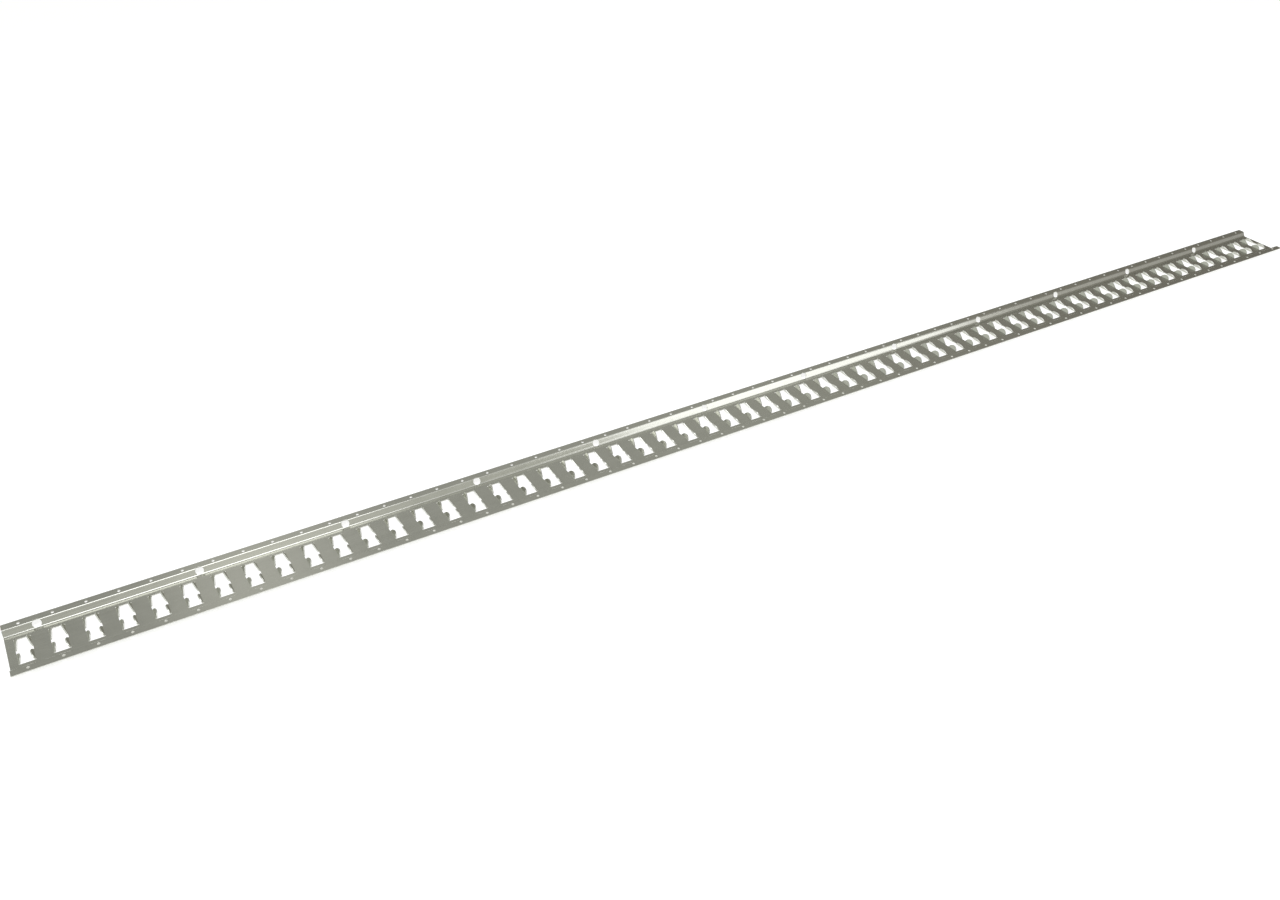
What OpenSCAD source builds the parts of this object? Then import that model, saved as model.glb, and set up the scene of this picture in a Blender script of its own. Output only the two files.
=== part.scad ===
// Combination lashing rail: one length of steel strip, roll formed to a shallow hat section.
// The plate lies on the floor, and the side walls and flanges stand up from it.
// X runs along the rail, Y across it and Z up, with the origin under the middle of the plate.

/* [Rail] */
// Number of slots along the rail, which is cut to length midway between two slots
slot_count = 60; // [6:1:90]
// Distance from each slot to the next
slot_pitch = 50.8; // [40:0.1:80]
// Width over both flanges
rail_w = 127; // [118:0.5:160]
// Depth from the plate's outer face to the flanges' outer face
rail_depth = 12.7; // [11.5:0.1:18]
// Thickness of the strip
strip_t = 2; // [1.2:0.1:2.5]

/* [Side walls and flanges] */
// Flat width of each flange
flange_w = 12.2; // [10:0.1:18]
// Angle of each side wall, measured from the plate
wall_angle = 70; // [50:1:85]
// Inside radius of the bends between plate, side walls and flanges
bend_r = 2; // [0.8:0.1:3]

/* [Slots and lips] */
// Width of each slot, between the bends at the feet of its lips
slot_w = 25.4; // [22:0.1:32]
// Length of each slot, across the rail
slot_l = 60.5; // [58:0.5:70]
// Height of the lips above the plate
lip_rise = 7.3; // [5:0.1:10]
// Angle of the lips, measured from the plate
lip_angle = 64; // [50:1:80]
// Inside radius of the bend at the foot of each lip
lip_bend_r = 1; // [0.5:0.1:2]
// Gap between each lip and its end of the slot
lip_relief = 1.2; // [0.5:0.1:3]
// Length of the foot of each tapered lip
tapered_lip_l = 27; // [22:0.5:29]
// Length of the full-height edge of each tapered lip
tapered_lip_edge_l = 7; // [3:0.5:10]
// Set-back of that edge from the lip's end, at the slot's end
tapered_lip_setback = 4; // [1:0.5:6]
// Length of the foot of each rounded lip
round_lip_l = 25; // [20:0.5:26]

/* [Holes] */
// Diameter of the fixing holes in the flanges, one in line with each end of each slot
fixing_d = 5; // [3:0.1:7]
// Distance from a fixing hole's centre to the flange's outer edge
fixing_edge = 8.1; // [5:0.1:9]
// Diameter of the large holes, punched in one side wall and its bends before the strip is formed
wall_hole_d = 14; // [8:0.5:14]
// Number of slots from each large hole to the next
wall_hole_step = 5; // [2:1:10]

/* [Hidden] */
$fn = 48;

// How far cutting shapes reach past the faces that they cut
cut_over = 1;
// Flat steps that a bend in the rail's section and a bend at a lip's foot are drawn with
bend_steps = 10;
lip_bend_steps = 5;

rail_l = slot_count * slot_pitch;
flange_y = rail_w / 2 - flange_w;
wall_l = (rail_depth - 2 * strip_t - 2 * bend_r + (2 * bend_r + strip_t) * cos(wall_angle)) / sin(wall_angle);
plate_y = flange_y - (2 * bend_r + strip_t) * sin(wall_angle) - wall_l * cos(wall_angle);
wall_mid_y = (flange_y + plate_y) / 2;
fixing_y = rail_w / 2 - fixing_edge;

// Bends along the middle of the strip's thickness
bend_mid_r = bend_r + strip_t / 2;
bend_l = bend_mid_r * wall_angle * PI / 180;

// Flat length of a lip beyond its bend, how far its foot lies behind the bend's end, and its end's place
lip_flat_l = (lip_rise - lip_bend_r * (1 - cos(lip_angle))) / sin(lip_angle);
lip_foot = (lip_bend_r + strip_t) * sin(lip_angle);
lip_end_y = slot_l / 2 - lip_relief;

// X of a slot's middle, counted from 0 at the end of negative X
function slot_x(i) = (i + 0.5) * slot_pitch - rail_l / 2;

// Points round a bend's axis, where the angle 0 is straight below it and turns towards positive x
function arc(axis, r, from, to, steps) =
    [for (k = [0:steps]) let (a = from + (to - from) * k / steps) axis + r * [sin(a), -cos(a)]];

// Under and upper face of the half section at positive Y, from the middle of the plate to the flange's edge
plate_bend = [plate_y, strip_t + bend_r];
flange_bend = [flange_y, rail_depth - strip_t - bend_r];
under_face = concat([[0, 0]], arc(plate_bend, bend_r + strip_t, 0, wall_angle, bend_steps),
    arc(flange_bend, bend_r, wall_angle - 180, -180, bend_steps), [[rail_w / 2, rail_depth - strip_t]]);
upper_face = concat([[0, strip_t]], arc(plate_bend, bend_r, 0, wall_angle, bend_steps),
    arc(flange_bend, bend_r + strip_t, wall_angle - 180, -180, bend_steps), [[rail_w / 2, rail_depth]]);

function reversed(points) = [for (i = [len(points) - 1:-1:0]) points[i]];

module half_strip() {
    translate([-rail_l / 2, 0, 0]) rotate([90, 0, 90]) linear_extrude(rail_l)
        polygon(concat(under_face, reversed(upper_face)));
}

// The strip as it leaves the rolls
module formed_strip() {
    half_strip();
    mirror([0, 1, 0]) half_strip();
}

// Strip bent up from a slot's edge at x = 0, a little longer all round than the lip that is punched from it
module bent_edge(foot_l) {
    bend = [0, strip_t + lip_bend_r];
    up = (lip_flat_l + cut_over) * [cos(lip_angle), sin(lip_angle)];
    under = arc(bend, lip_bend_r + strip_t, 0, lip_angle, lip_bend_steps);
    upper = arc(bend, lip_bend_r, lip_angle, 0, lip_bend_steps);
    translate([0, foot_l + cut_over, 0]) rotate([90, 0, 0]) linear_extrude(foot_l + 2 * cut_over)
        polygon(concat(under, [under[lip_bend_steps] + up, upper[0] + up], upper));
}

// Punches a lip to an outline that lies on its slope, with x up the slope from the end of the bend
module punched(foot_l) {
    intersection() {
        bent_edge(foot_l);
        translate([0, 0, strip_t + lip_bend_r]) rotate([0, -lip_angle, 0])
            translate([0, 0, -lip_bend_r - strip_t - cut_over])
            linear_extrude(lip_bend_r + strip_t + 2 * cut_over) children();
    }
}

// Lip that runs out to nothing towards the slot's shoulder
module tapered_lip() {
    edge_end = tapered_lip_setback + tapered_lip_edge_l;
    past_foot = cut_over / (lip_flat_l + lip_foot);
    punched(tapered_lip_l) polygon([
        [-lip_foot - cut_over, -past_foot * tapered_lip_setback],
        [lip_flat_l, tapered_lip_setback],
        [lip_flat_l, edge_end],
        [-lip_foot - cut_over, tapered_lip_l + past_foot * (tapered_lip_l - edge_end)]
    ]);
}

// Lip with a round edge
module round_lip() {
    edge_r = round_lip_l / 2;
    punched(round_lip_l) translate([lip_flat_l - edge_r, edge_r]) circle(edge_r);
}

// One tapered and one rounded lip on the slot's edge at negative X
module lip_pair() {
    translate([-slot_w / 2, lip_end_y, 0]) mirror([0, 1, 0]) tapered_lip();
    translate([-slot_w / 2, -lip_end_y, 0]) round_lip();
}

module slot_lips() {
    lip_pair();
    mirror([1, 0, 0]) lip_pair();
}

module slot_cut() {
    translate([-slot_w / 2, -slot_l / 2, -cut_over]) cube([slot_w, slot_l, strip_t + 2 * cut_over]);
}

module fixing_cut(y) {
    translate([0, y, rail_depth - strip_t - cut_over]) cylinder(d = fixing_d, h = strip_t + 2 * cut_over);
}

// Distance from the wall's middle, along the wall's plane, of a point at the flat distance s from it
function folded(s) =
    let (past = max(s - wall_l / 2, 0), on_bend = min(past, bend_l), turn = wall_angle * on_bend / bend_l)
    min(s, wall_l / 2) + bend_mid_r * sin(turn) + (past - on_bend) * cos(wall_angle);

// Large hole in the side wall at positive Y, as the bends leave its round outline, cut square to the wall
module wall_hole_cut() {
    reach = 1.1 * strip_t;
    hole_r = wall_hole_d / 2;
    turns = [for (k = [0:$fn - 1]) (k + 0.5) * 360 / $fn];
    translate([0, wall_mid_y, rail_depth / 2]) rotate([wall_angle, 0, 0])
        translate([0, 0, -reach]) linear_extrude(2 * reach)
        polygon([for (a = turns) [hole_r * cos(a), sign(sin(a)) * folded(hole_r * abs(sin(a)))]]);
}

module lashing_rail() {
    color([0.66, 0.66, 0.63]) {
        difference() {
            formed_strip();
            for (i = [0:slot_count - 1]) translate([slot_x(i), 0, 0]) {
                slot_cut();
                fixing_cut(fixing_y);
                fixing_cut(-fixing_y);
            }
            for (i = [0:wall_hole_step:slot_count - 2]) translate([slot_x(i) + slot_pitch / 2, 0, 0])
                wall_hole_cut();
        }
        for (i = [0:slot_count - 1]) translate([slot_x(i), 0, 0]) slot_lips();
    }
}

lashing_rail();
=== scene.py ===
"""Combination lashing rail: one length of galvanised strip, roll formed and punched, in a plain studio."""
import math

import bmesh
import bpy
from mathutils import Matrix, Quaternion, Vector
from mathutils.geometry import delaunay_2d_cdt


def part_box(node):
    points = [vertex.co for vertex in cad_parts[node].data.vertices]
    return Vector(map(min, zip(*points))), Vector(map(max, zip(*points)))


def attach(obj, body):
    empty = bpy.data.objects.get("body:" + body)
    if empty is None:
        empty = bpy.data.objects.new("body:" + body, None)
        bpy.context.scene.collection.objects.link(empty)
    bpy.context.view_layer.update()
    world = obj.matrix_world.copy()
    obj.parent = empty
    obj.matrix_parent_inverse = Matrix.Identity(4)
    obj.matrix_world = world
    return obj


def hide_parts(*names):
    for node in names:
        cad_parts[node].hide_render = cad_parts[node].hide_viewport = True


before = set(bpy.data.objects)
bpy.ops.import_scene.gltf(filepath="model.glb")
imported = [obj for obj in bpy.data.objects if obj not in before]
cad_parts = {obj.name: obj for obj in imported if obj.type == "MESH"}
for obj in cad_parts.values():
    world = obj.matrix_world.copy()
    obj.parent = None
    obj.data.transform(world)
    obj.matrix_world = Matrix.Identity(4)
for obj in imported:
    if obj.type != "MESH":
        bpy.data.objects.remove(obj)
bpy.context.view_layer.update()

# All sizes of the strip are in millimetres, and MM takes them to the scene's metres
MM = 0.001
RAIL_NODE = "lashing_rail"
rail_l, rail_w, rail_depth = [(high - low) / MM for low, high in zip(*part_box(RAIL_NODE))]

# Strip and its section. The foot bend joins plate and wall, the shoulder bend joins wall and flange,
# and both radii are inside ones
STRIP_T = 2.0
FLANGE_W = 12.2
WALL_ANGLE = math.radians(64)
FOOT_BEND_R = 5.0
SHOULDER_BEND_R = 2.0
BEND_STEPS = 8

# Slots and lips
SLOT_PITCH = 50.8
SLOT_W = 25.4
SLOT_L = 60.5
LIP_RISE = 7.3
LIP_ANGLE = math.radians(64)
LIP_BEND_R = 1.0
LIP_BEND_STEPS = 5
LIP_RELIEF = 1.2
TAPERED_LIP_L = 27.0
TAPERED_EDGE_L = 7.0
TAPERED_SETBACK = 4.0
ROUND_LIP_L = 25.0
ROUND_LIP_STEPS = 14

# Holes
FIXING_D = 5.0
FIXING_EDGE = 8.1
FIXING_SIDES = 20
WALL_HOLE_D = 14.0
WALL_HOLE_SIDES = 36

# Punched outlines: the punch's corner radius, the turn from which a corner counts as sharp, the share of
# a side that its rounding may take, and the rounding of the sheared edges
CORNER_R = 0.7
CORNER_STEPS = 3
SHARP_TURN = math.radians(25)
CORNER_SHARE = 0.45
EDGE_R = 0.3
EDGE_STEPS = 2

# The pattern of slots and holes repeats every five slots
UNIT_SLOTS = 5
unit_l = UNIT_SLOTS * SLOT_PITCH
unit_count = round(rail_l / unit_l)
slot_centres = [(i - (UNIT_SLOTS - 1) / 2) * SLOT_PITCH for i in range(UNIT_SLOTS)]
wall_hole_x = slot_centres[0] + SLOT_PITCH / 2

# Formed section, followed along the middle of the strip's thickness
half_t = STRIP_T / 2
foot_r = FOOT_BEND_R + half_t
shoulder_r = SHOULDER_BEND_R + half_t
foot_l = foot_r * WALL_ANGLE
shoulder_l = shoulder_r * WALL_ANGLE
flange_y = rail_w / 2 - FLANGE_W
wall_rise = rail_depth - STRIP_T - (foot_r + shoulder_r) * (1 - math.cos(WALL_ANGLE))
wall_l = wall_rise / math.sin(WALL_ANGLE)
plate_end = flange_y - (foot_r + shoulder_r) * math.sin(WALL_ANGLE) - wall_l * math.cos(WALL_ANGLE)
wall_start = plate_end + foot_l
wall_end = wall_start + wall_l
flange_start = wall_end + shoulder_l
strip_edge = flange_start + FLANGE_W

# Lips, followed the same way
lip_mid_r = LIP_BEND_R + half_t
lip_bend_l = lip_mid_r * LIP_ANGLE
lip_flat_l = (LIP_RISE - LIP_BEND_R * (1 - math.cos(LIP_ANGLE))) / math.sin(LIP_ANGLE)
lip_foot = (LIP_BEND_R + STRIP_T) * math.sin(LIP_ANGLE)
lip_end_y = SLOT_L / 2 - LIP_RELIEF
lip_steps = [lip_bend_l * i / LIP_BEND_STEPS for i in range(LIP_BEND_STEPS + 1)]


def clamp(value, low, high):
    return max(low, min(high, value))


def across(s):
    """Y, Z and tilt of the formed section at the flat distance s from the middle of the plate."""
    side = math.copysign(1, s)
    s = abs(s)
    first = clamp(s - plate_end, 0, foot_l) / foot_r
    second = clamp(s - wall_end, 0, shoulder_l) / shoulder_r
    on_wall = clamp(s - wall_start, 0, wall_l)
    last = WALL_ANGLE - second
    y = min(s, plate_end) + foot_r * math.sin(first) + on_wall * math.cos(WALL_ANGLE)
    y += shoulder_r * (math.sin(WALL_ANGLE) - math.sin(last)) + max(s - flange_start, 0)
    z = half_t + foot_r * (1 - math.cos(first)) + on_wall * math.sin(WALL_ANGLE)
    z += shoulder_r * (math.cos(last) - math.cos(WALL_ANGLE))
    return side * y, z, side * (first - second)


def up_lip(p):
    """Reach, rise and tilt of a lip at the flat distance p from the slot's edge."""
    tilt = min(p, lip_bend_l) / lip_mid_r
    flat = max(p - lip_bend_l, 0)
    reach = lip_mid_r * math.sin(tilt) + flat * math.cos(LIP_ANGLE)
    rise = lip_mid_r * (1 - math.cos(tilt)) + flat * math.sin(LIP_ANGLE)
    return reach, rise, tilt


def formed(x, s):
    """Middle of the sheet and its upward normal where the flat strip's point (x, s) lies after forming."""
    centre = min(slot_centres, key=lambda c: abs(x - c))
    p = SLOT_W / 2 - abs(x - centre)
    if p > 0 and abs(s) < lip_end_y + LIP_RELIEF / 2:
        side = math.copysign(1, x - centre)
        reach, rise, tilt = up_lip(p)
        point = Vector((centre + side * (SLOT_W / 2 - reach), s, half_t + rise))
        return point, Vector((side * math.sin(tilt), 0, math.cos(tilt)))
    y, z, tilt = across(s)
    return Vector((x, y, z)), Vector((0, -math.sin(tilt), math.cos(tilt)))


def on_slope(p):
    """Distance up a lip's slope, counted from the end of its bend, of the flat distance p."""
    if p < lip_bend_l:
        return -lip_mid_r * math.sin(LIP_ANGLE - p / lip_mid_r)
    return p - lip_bend_l


def tapered_lip():
    """Edge of a tapered lip as (flat distance from the slot's edge, distance from the lip's end)."""
    edge_end = TAPERED_SETBACK + TAPERED_EDGE_L
    climb = [(p, (on_slope(p) + lip_foot) / (lip_flat_l + lip_foot)) for p in lip_steps]
    climb.append((lip_bend_l + lip_flat_l, 1))
    end_side = [(p, TAPERED_SETBACK * c) for p, c in climb]
    taper_side = [(p, TAPERED_LIP_L - (TAPERED_LIP_L - edge_end) * c) for p, c in climb]
    return end_side + taper_side[::-1]


def round_lip():
    """Edge of a round lip, in the same terms."""
    r = ROUND_LIP_L / 2
    centre = lip_flat_l - r
    half_width = [(p, math.sqrt(r * r - (on_slope(p) - centre) ** 2)) for p in lip_steps[:-1]]
    start = math.asin(-centre / r)
    sweep = math.pi - 2 * start
    turns = [start + sweep * i / ROUND_LIP_STEPS for i in range(ROUND_LIP_STEPS + 1)]
    arc = [(lip_bend_l + centre + r * math.sin(a), r - r * math.cos(a)) for a in turns]
    return [(p, r - w) for p, w in half_width] + arc + [(p, r + w) for p, w in half_width[::-1]]


def slot_outline(centre):
    """Punched outline of one slot in the flat strip, with its four lips."""
    edge = SLOT_W / 2
    right = [(edge, SLOT_L / 2)]
    right += [(edge - p, lip_end_y - v) for p, v in tapered_lip()]
    right += [(edge - p, v - lip_end_y) for p, v in reversed(round_lip())]
    right += [(edge, -SLOT_L / 2)]
    left = [(-x, s) for x, s in reversed(right)]
    return [Vector((centre + x, s)) for x, s in rounded(right + left)]


def rounded(corners):
    """The closed outline with its corners rounded by the punch's radius."""
    outline = []
    for i, corner in enumerate(corners):
        here = Vector(corner)
        back = Vector(corners[i - 1]) - here
        ahead = Vector(corners[(i + 1) % len(corners)]) - here
        turn = math.pi - back.angle(ahead)
        if turn < SHARP_TURN:
            outline.append(here)
            continue
        cut = min(CORNER_R * math.tan(turn / 2), CORNER_SHARE * back.length, CORNER_SHARE * ahead.length)
        a = here + back.normalized() * cut
        b = here + ahead.normalized() * cut
        for k in range(CORNER_STEPS + 1):
            t = k / CORNER_STEPS
            outline.append(a * (1 - t) ** 2 + here * 2 * t * (1 - t) + b * t * t)
    return outline


def round_hole(x, s, diameter, sides):
    turns = [2 * math.pi * i / sides for i in range(sides)]
    return [Vector((x + diameter / 2 * math.cos(a), s + diameter / 2 * math.sin(a))) for a in turns]


def unit_holes():
    """Outlines of all openings in one unit of the flat strip."""
    fixing_s = strip_edge - FIXING_EDGE
    holes = [slot_outline(c) for c in slot_centres]
    for side in (-1, 1):
        holes += [round_hole(c, side * fixing_s, FIXING_D, FIXING_SIDES) for c in slot_centres]
    wall_mid = (wall_start + wall_end) / 2
    return holes + [round_hole(wall_hole_x, wall_mid, WALL_HOLE_D, WALL_HOLE_SIDES)]


def corner_push(before, after):
    """Push at a corner between two edges with these outward normals that moves both edges by one."""
    return (before + after) / (1 + before.dot(after))


def grown(outline):
    """The hole's outline moved into the strip by the rounding of its edge."""
    ring = list(zip(outline, outline[1:] + outline[:1]))
    turning = sum(a.cross(b) for a, b in ring)
    normals = [Vector((b.y - a.y, a.x - b.x)).normalized() * math.copysign(1, turning) for a, b in ring]
    return [p + EDGE_R * corner_push(normals[i - 1], normals[i]) for i, p in enumerate(outline)]


def inside(point, outline):
    crossings = 0
    for a, b in zip(outline, outline[1:] + outline[:1]):
        if (a.y > point.y) != (b.y > point.y):
            crossings += point.x < a.x + (point.y - a.y) * (b.x - a.x) / (b.y - a.y)
    return crossings % 2 == 1


def fold_lines():
    """Lines in the flat strip along which it is bent: those of the section, then those of the lips."""
    lines = []
    for start, length in ((plate_end, foot_l), (wall_end, shoulder_l)):
        for i in range(BEND_STEPS + 1):
            s = start + length * i / BEND_STEPS
            lines += [((-unit_l / 2, side * s), (unit_l / 2, side * s)) for side in (-1, 1)]
    for centre in slot_centres:
        for p in lip_steps:
            edge = SLOT_W / 2 - p
            for x in (centre - edge, centre + edge):
                lines.append(((x, -lip_end_y), (x, lip_end_y)))
    return lines


def flat_unit():
    """Points and triangles of one unit of the flat strip, with its openings left out."""
    holes = [grown(outline) for outline in unit_holes()]
    end_x, edge_s = unit_l / 2, strip_edge - EDGE_R
    corners = [(-end_x, -edge_s), (end_x, -edge_s), (end_x, edge_s), (-end_x, edge_s)]
    points, edges = [], []
    for ring in [[Vector(c) for c in corners]] + holes:
        first = len(points)
        points += ring
        edges += [(first + i, first + (i + 1) % len(ring)) for i in range(len(ring))]
    for a, b in fold_lines():
        edges.append((len(points), len(points) + 1))
        points += [Vector(a), Vector(b)]
    points, _, faces, *_ = delaunay_2d_cdt(points, edges, [], 0, 1e-4)
    kept = []
    for face in faces:
        a, b, c = [points[i] for i in face]
        if any(inside((a + b + c) / 3, hole) for hole in holes):
            continue
        kept.append(tuple(face) if (b - a).cross(c - a) > 0 else tuple(face)[::-1])
    return points, kept


def rim_pushes(points, triangles):
    """Outer edges of the flat unit, apart from the two where units meet, and each edge point's push."""
    directed = {(t[i], t[(i + 1) % 3]) for t in triangles for i in range(3)}
    rim = []
    normals = {}
    for a, b in directed:
        at_end = abs(points[a].x + points[b].x) > unit_l - EDGE_R
        if (b, a) in directed or at_end:
            continue
        rim.append((a, b))
        along = points[b] - points[a]
        for i in (a, b):
            normals.setdefault(i, []).append(Vector((along.y, -along.x)).normalized())
    return sorted(rim), {i: corner_push(n[0], n[-1]) for i, n in normals.items()}


def edge_rows():
    """Rows from the upper to the under face round a sheared edge: outward share, height, turn from up."""
    quarter = [math.pi / 2 * i / EDGE_STEPS for i in range(EDGE_STEPS + 1)]
    upper = [(EDGE_R * math.sin(a), half_t - EDGE_R + EDGE_R * math.cos(a), a) for a in quarter]
    return upper + [(out, -height, math.pi - a) for out, height, a in reversed(upper)]


def unit_mesh():
    """One unit of the rail as a thick sheet, open only where the next unit joins on."""
    points, triangles = flat_unit()
    rim, pushes = rim_pushes(points, triangles)
    rows = edge_rows()
    places, normals, flat_places, cut = [], [], [], []
    layers = {}
    for i in sorted({i for t in triangles for i in t}):
        push = pushes.get(i)
        layers[i] = []
        for out, height, turn in rows if push else (rows[0], rows[-1]):
            flat = points[i] + out * push if push else points[i]
            middle, up = formed(*flat)
            normal = up * math.cos(turn)
            if push:
                probe = points[i] + EDGE_R * push
                outward = formed(*probe)[0] - formed(*points[i])[0]
                normal += outward.normalized() * math.sin(turn)
            place = middle + up * height
            layers[i].append(len(places))
            places.append(place * MM)
            normals.append(normal.normalized())
            flat_places.append((flat.x * MM - place.x * MM, flat.y * MM, 0))
            cut.append(math.sin(turn) if push else 0.0)
    faces = []
    for t in triangles:
        faces.append([layers[i][0] for i in t])
        faces.append([layers[i][-1] for i in reversed(t)])
    for a, b in rim:
        for k in range(len(rows) - 1):
            faces.append((layers[b][k], layers[a][k], layers[a][k + 1], layers[b][k + 1]))
    mesh = bpy.data.meshes.new("rail_unit")
    mesh.from_pydata(places, [], faces)
    for name, values in (("form_normal", normals), ("flat_place", flat_places)):
        numbers = [c for v in values for c in v]
        mesh.attributes.new(name, "FLOAT_VECTOR", "POINT").data.foreach_set("vector", numbers)
    mesh.attributes.new("cut_edge", "FLOAT", "POINT").data.foreach_set("value", cut)
    return mesh


def add_node(tree, kind, **settings):
    node = tree.nodes.new(kind)
    for name, value in settings.items():
        setattr(node, name, value)
    return node


def join(tree, source, target):
    tree.links.new(source, target)


def unit_row_tree():
    """Geometry nodes that set units end to end along X, centred on the origin, and weld them."""
    tree = bpy.data.node_groups.new("unit_row", "GeometryNodeTree")
    face = tree.interface
    face.new_socket("Unit", in_out="INPUT", socket_type="NodeSocketGeometry")
    face.new_socket("Unit Count", in_out="INPUT", socket_type="NodeSocketInt")
    face.new_socket("Unit Length", in_out="INPUT", socket_type="NodeSocketFloat")
    face.new_socket("Weld Distance", in_out="INPUT", socket_type="NodeSocketFloat")
    face.new_socket("Finish", in_out="INPUT", socket_type="NodeSocketMaterial")
    face.new_socket("Rail", in_out="OUTPUT", socket_type="NodeSocketGeometry")
    given = add_node(tree, "NodeGroupInput").outputs
    gaps = add_node(tree, "ShaderNodeMath", operation="SUBTRACT")
    gaps.inputs[1].default_value = 1
    half_row = add_node(tree, "ShaderNodeMath", operation="MULTIPLY")
    start_x = add_node(tree, "ShaderNodeMath", operation="MULTIPLY")
    start_x.inputs[1].default_value = -0.5
    start = add_node(tree, "ShaderNodeCombineXYZ")
    step = add_node(tree, "ShaderNodeCombineXYZ")
    line = add_node(tree, "GeometryNodeMeshLine", mode="OFFSET")
    instances = add_node(tree, "GeometryNodeInstanceOnPoints")
    realized = add_node(tree, "GeometryNodeRealizeInstances")
    weld = add_node(tree, "GeometryNodeMergeByDistance")
    finish = add_node(tree, "GeometryNodeSetMaterial")
    result = add_node(tree, "NodeGroupOutput")
    join(tree, given["Unit Count"], gaps.inputs[0])
    join(tree, gaps.outputs[0], half_row.inputs[0])
    join(tree, given["Unit Length"], half_row.inputs[1])
    join(tree, half_row.outputs[0], start_x.inputs[0])
    join(tree, start_x.outputs[0], start.inputs["X"])
    join(tree, given["Unit Length"], step.inputs["X"])
    join(tree, given["Unit Count"], line.inputs["Count"])
    join(tree, start.outputs[0], line.inputs["Start Location"])
    join(tree, step.outputs[0], line.inputs["Offset"])
    join(tree, line.outputs[0], instances.inputs["Points"])
    join(tree, given["Unit"], instances.inputs["Instance"])
    join(tree, instances.outputs[0], realized.inputs[0])
    join(tree, realized.outputs[0], weld.inputs["Geometry"])
    join(tree, given["Weld Distance"], weld.inputs["Distance"])
    join(tree, weld.outputs[0], finish.inputs["Geometry"])
    join(tree, given["Finish"], finish.inputs["Material"])
    join(tree, finish.outputs[0], result.inputs[0])
    return tree


def set_inputs(modifier, values):
    for item in modifier.node_group.interface.items_tree:
        if item.name in values and item.in_out == "INPUT":
            modifier[item.identifier] = values[item.name]


def close_ends(mesh):
    """Caps the two cut ends of the rail."""
    form = bmesh.new()
    form.from_mesh(mesh)
    for side in (-1, 1):
        end_x = side * rail_l / 2 * MM
        open_edges = []
        for edge in form.edges:
            at_end = all(abs(v.co.x - end_x) < EDGE_R * MM for v in edge.verts)
            if edge.is_boundary and at_end:
                open_edges.append(edge)
        cap = bmesh.ops.contextual_create(form, geom=open_edges)["faces"]
        for face in cap:
            face.normal_update()
            if face.normal.x * side < 0:
                face.normal_flip()
    form.to_mesh(mesh)
    form.free()


def set_normals_and_flat_map(mesh):
    """Gives each corner the formed sheet's own normal, and a map of where it lay in the flat strip."""
    form_normals = [Vector(v.vector) for v in mesh.attributes["form_normal"].data]
    flat_places = [Vector(v.vector) for v in mesh.attributes["flat_place"].data]
    flat_map = mesh.uv_layers.new(name="flat_strip")
    end_x = rail_l / 2 * MM - EDGE_R * MM / 10
    corner_normals = [None] * len(mesh.loops)
    for face in mesh.polygons:
        is_cap = all(abs(mesh.vertices[i].co.x) > end_x for i in face.vertices)
        for corner in face.loop_indices:
            i = mesh.loops[corner].vertex_index
            corner_normals[corner] = face.normal.copy() if is_cap else form_normals[i]
            flat_map.data[corner].uv = (mesh.vertices[i].co.x + flat_places[i].x, flat_places[i].y)
    for name in ("form_normal", "flat_place"):
        mesh.attributes.remove(mesh.attributes[name])
    mesh.shade_smooth()
    mesh.normals_split_custom_set(corner_normals)


def rail_piece(material):
    """The whole rail as one plain mesh."""
    rail = bpy.data.objects.new("formed_rail", unit_mesh())
    bpy.context.scene.collection.objects.link(rail)
    row = rail.modifiers.new("unit_row", "NODES")
    row.node_group = unit_row_tree()
    set_inputs(row, {
        "Unit Count": unit_count,
        "Unit Length": unit_l * MM,
        "Weld Distance": EDGE_R * MM / 100,
        "Finish": material,
    })
    graph = bpy.context.evaluated_depsgraph_get()
    whole = rail.evaluated_get(graph)
    mesh = bpy.data.meshes.new_from_object(whole, preserve_all_data_layers=True, depsgraph=graph)
    rail.modifiers.clear()
    rail.data = mesh
    mesh.name = "formed_rail"
    close_ends(mesh)
    set_normals_and_flat_map(mesh)
    return rail


def new_material(name):
    material = bpy.data.materials.new(name)
    material.use_nodes = True
    material.node_tree.nodes.clear()
    return material, material.node_tree


def noise(tree, source, scale, detail, stretch=(1, 1, 1)):
    mapping = add_node(tree, "ShaderNodeMapping")
    mapping.inputs["Scale"].default_value = stretch
    texture = add_node(tree, "ShaderNodeTexNoise")
    texture.inputs["Scale"].default_value = scale
    texture.inputs["Detail"].default_value = detail
    join(tree, source, mapping.inputs["Vector"])
    join(tree, mapping.outputs["Vector"], texture.inputs["Vector"])
    return texture.outputs["Fac"]


def ranged(tree, source, low, high, from_low=0.3, from_high=0.7):
    node = add_node(tree, "ShaderNodeMapRange")
    node.inputs["From Min"].default_value = from_low
    node.inputs["From Max"].default_value = from_high
    node.inputs["To Min"].default_value = low
    node.inputs["To Max"].default_value = high
    join(tree, source, node.inputs["Value"])
    return node.outputs["Result"]


def mixed(tree, factor, a, b):
    """Colour from a to b by a factor. Each of a and b is a colour or a socket."""
    node = add_node(tree, "ShaderNodeMix", data_type="RGBA")
    join(tree, factor, node.inputs["Factor"])
    for value, socket in ((a, node.inputs["A"]), (b, node.inputs["B"])):
        if isinstance(value, tuple):
            socket.default_value = (*value, 1)
        else:
            join(tree, value, socket)
    return node.outputs["Result"]


def added(tree, a, b):
    node = add_node(tree, "ShaderNodeMath", operation="ADD")
    join(tree, a, node.inputs[0])
    join(tree, b, node.inputs[1])
    return node.outputs[0]


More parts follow.
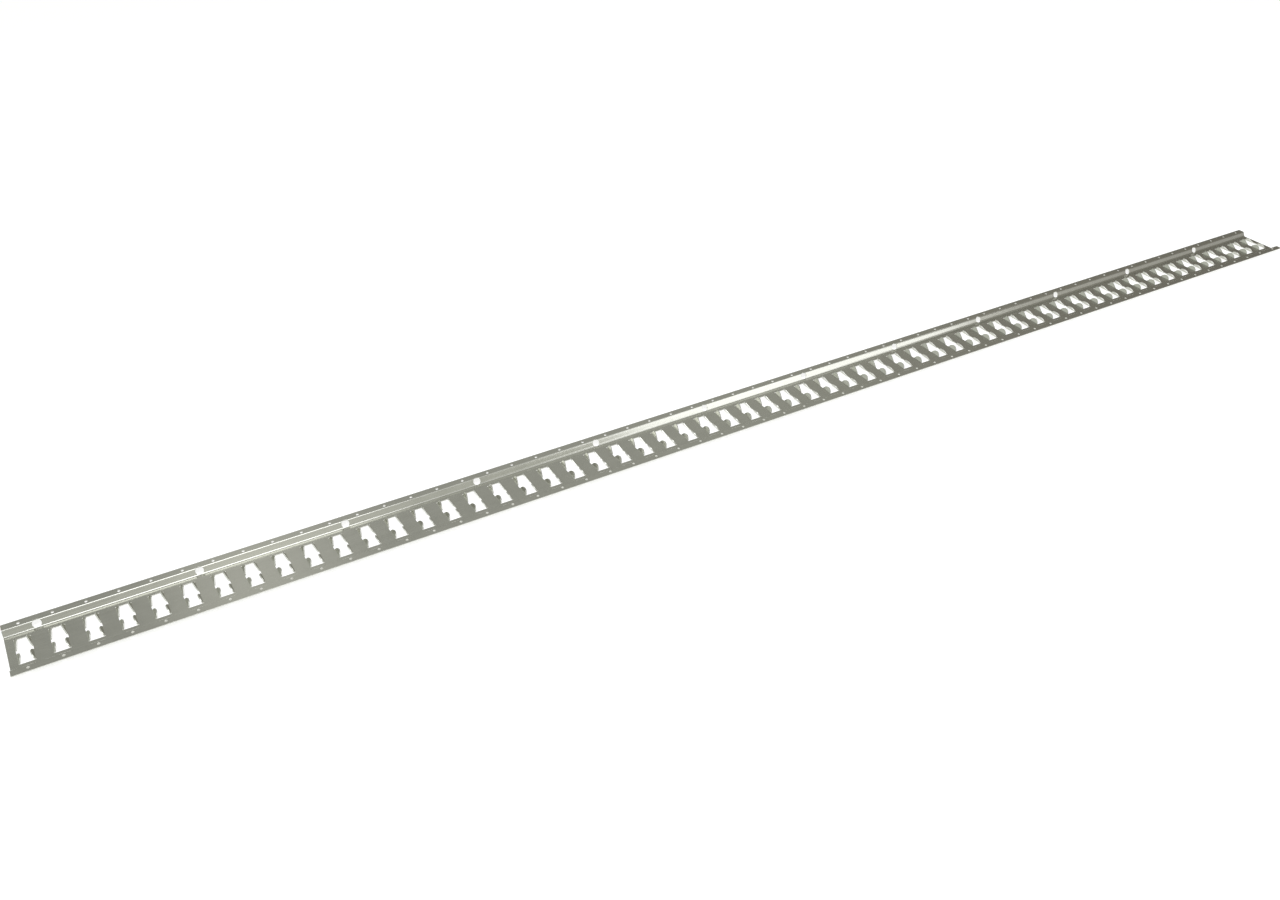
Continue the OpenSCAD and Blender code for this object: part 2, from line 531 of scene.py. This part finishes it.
def galvanised_steel():
    """Satin zinc on rolled strip: fine lines along the strip, faint clouding, and paler sheared edges."""
    material, tree = new_material("galvanised_steel")
    flat = add_node(tree, "ShaderNodeUVMap", uv_map="flat_strip").outputs["UV"]
    solid = add_node(tree, "ShaderNodeTexCoord").outputs["Object"]
    cut = add_node(tree, "ShaderNodeAttribute", attribute_name="cut_edge").outputs["Fac"]
    lines = noise(tree, flat, 1, 2, (2.5, 700, 1))
    bands = noise(tree, flat, 1, 3, (1.4, 150, 1))
    clouds = noise(tree, solid, 38, 2)
    dull_cloud = (0.545, 0.546, 0.49)
    pale_cloud = (0.585, 0.586, 0.528)
    dull_band = (0.485, 0.486, 0.435)
    pale_line = (0.63, 0.631, 0.57)
    bare_steel = (0.76, 0.76, 0.72)
    tone = mixed(tree, ranged(tree, clouds, 0, 1), dull_cloud, pale_cloud)
    tone = mixed(tree, ranged(tree, bands, 0, 0.35), tone, dull_band)
    tone = mixed(tree, ranged(tree, lines, 0, 0.3), tone, pale_line)
    tone = mixed(tree, ranged(tree, cut, 0, 0.6, 0, 1), tone, bare_steel)
    rough = added(tree, ranged(tree, lines, -0.02, 0.03), ranged(tree, clouds, 0.155, 0.185))
    rough = added(tree, rough, ranged(tree, cut, 0, 0.12, 0, 1))
    shader = add_node(tree, "ShaderNodeBsdfPrincipled")
    shader.inputs["Metallic"].default_value = 0.88
    join(tree, tone, shader.inputs["Base Color"])
    join(tree, rough, shader.inputs["Roughness"])
    result = add_node(tree, "ShaderNodeOutputMaterial")
    join(tree, shader.outputs["BSDF"], result.inputs["Surface"])
    return material


def shown(tree):
    """1 for rays that show the stage: those from the camera, from a reflection and through glass."""
    path = add_node(tree, "ShaderNodeLightPath").outputs
    seen = added(tree, path["Is Camera Ray"], path["Is Glossy Ray"])
    return added(tree, seen, path["Is Transmission Ray"])


def floor_paper():
    """Pale paper that shows white and still takes a soft shadow."""
    material, tree = new_material("floor_paper")
    paper = add_node(tree, "ShaderNodeBsdfDiffuse")
    grey = 0.6
    shown_glow = 0.68
    paper.inputs["Color"].default_value = (grey, grey, grey, 1)
    glow = add_node(tree, "ShaderNodeEmission")
    join(tree, ranged(tree, shown(tree), 0, shown_glow, 0, 1), glow.inputs["Strength"])
    both = add_node(tree, "ShaderNodeAddShader")
    join(tree, paper.outputs[0], both.inputs[0])
    join(tree, glow.outputs[0], both.inputs[1])
    result = add_node(tree, "ShaderNodeOutputMaterial")
    join(tree, both.outputs[0], result.inputs["Surface"])
    return material


def studio_floor():
    half = 20.0
    drop = 0.0002
    mesh = bpy.data.meshes.new("studio_floor")
    corners = [(-half, -half, -drop), (half, -half, -drop), (half, half, -drop), (-half, half, -drop)]
    mesh.from_pydata(corners, [], [(0, 1, 2, 3)])
    mesh.materials.append(floor_paper())
    floor = bpy.data.objects.new("studio_floor", mesh)
    bpy.context.scene.collection.objects.link(floor)


def studio_world():
    """Soft surroundings, paler towards -X, dimmer and warmer towards +X, brighter in front.

    A pale stretch a little to the +X side of the middle shows in the first slots.
    """
    world = bpy.data.worlds.new("studio")
    world.use_nodes = True
    bpy.context.scene.world = world
    tree = world.node_tree
    tree.nodes.clear()
    parts = add_node(tree, "ShaderNodeSeparateXYZ")
    join(tree, add_node(tree, "ShaderNodeTexCoord").outputs["Generated"], parts.inputs[0])
    ramp = add_node(tree, "ShaderNodeValToRGB")
    stops = ramp.color_ramp.elements
    stops[0].color = (0.90, 0.93, 0.88, 1)
    stops[1].color = (0.09, 0.077, 0.06, 1)
    stops.new(0.51).color = (0.4, 0.404, 0.38, 1)
    stops.new(0.538).color = (0.75, 0.753, 0.715, 1)
    stops.new(0.563).color = (0.75, 0.753, 0.715, 1)
    stops.new(0.6).color = (0.46, 0.465, 0.44, 1)
    stops.new(0.76).color = (0.46, 0.463, 0.425, 1)
    stops.new(0.85).color = (0.25, 0.238, 0.203, 1)
    join(tree, ranged(tree, parts.outputs["X"], 0, 1, -1, 1), ramp.inputs["Fac"])
    soft = add_node(tree, "ShaderNodeBackground")
    join(tree, ramp.outputs["Color"], soft.inputs["Color"])
    join(tree, ranged(tree, parts.outputs["Y"], 1.35, 0.885, -1, 0), soft.inputs["Strength"])
    result = add_node(tree, "ShaderNodeOutputWorld")
    join(tree, soft.outputs[0], result.inputs["Surface"])


def facing(place, target):
    """Turn of a lamp or camera at place that looks at target, upright."""
    return (Vector(place) - Vector(target)).to_track_quat("Z", "Y")


def softbox(name, place, target, width, height, radiance):
    """Soft lamp, slightly cool, whose face has the given brightness, where 1 is white."""
    cool_white = (0.975, 0.985, 1.05)
    light = bpy.data.lights.new(name, "AREA")
    light.shape = "RECTANGLE"
    light.size = width
    light.size_y = height
    light.color = cool_white
    light.energy = radiance * math.pi * width * height
    lamp = bpy.data.objects.new(name, light)
    lamp.location = place
    lamp.rotation_mode = "QUATERNION"
    lamp.rotation_quaternion = facing(place, target)
    lamp.visible_camera = False
    bpy.context.scene.collection.objects.link(lamp)


def studio_lamps():
    """Each lamp has its place, the point that it faces, its width and height, and its brightness."""
    softbox("overhead_softbox", (0.1, -0.45, 2.4), (0.1, -0.45, 0), 3.6, 1.4, 0.5)
    softbox("overhead_left_softbox", (-1.05, -0.42, 2.3), (-1.05, -0.3, 0), 1.3, 1.3, 2.1)
    softbox("overhead_right_softbox", (1.45, -0.85, 2.25), (0.1, 0, 0), 1.7, 1.3, 0.95)
    softbox("front_softbox", (1.54, -2.26, 1.2), (0, -0.16, 0), 1.65, 2.3, 1.5)
    softbox("front_right_softbox", (3.7, -2.1, 0.6), (0.9, 0, 0.01), 2.2, 1.1, 0.24)
    softbox("front_left_softbox", (-2.6, -1.35, 1.55), (-0.5, 0, 0), 1.2, 1.0, 2.0)


def photo_camera():
    """Camera at the photograph's viewing angle, its lens meant for a frame of 1280 by 900, which this
    script does not set.
    """
    place = (-1.3585, -1.6018, 1.3220)
    target = (-0.3890, -0.0075, 0.0)
    roll = Quaternion((0, 0, 1), math.radians(1.03))
    lens_data = bpy.data.cameras.new("photo_camera")
    lens_data.sensor_width = 36
    lens_data.lens = 32.89
    camera = bpy.data.objects.new("photo_camera", lens_data)
    camera.location = place
    camera.rotation_mode = "QUATERNION"
    camera.rotation_quaternion = facing(place, target) @ roll
    bpy.context.scene.collection.objects.link(camera)
    bpy.context.scene.camera = camera


bpy.context.scene.view_settings.view_transform = "Standard"
studio_floor()
studio_world()
studio_lamps()
photo_camera()

rail = rail_piece(galvanised_steel())
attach(rail, "root")
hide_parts(RAIL_NODE)
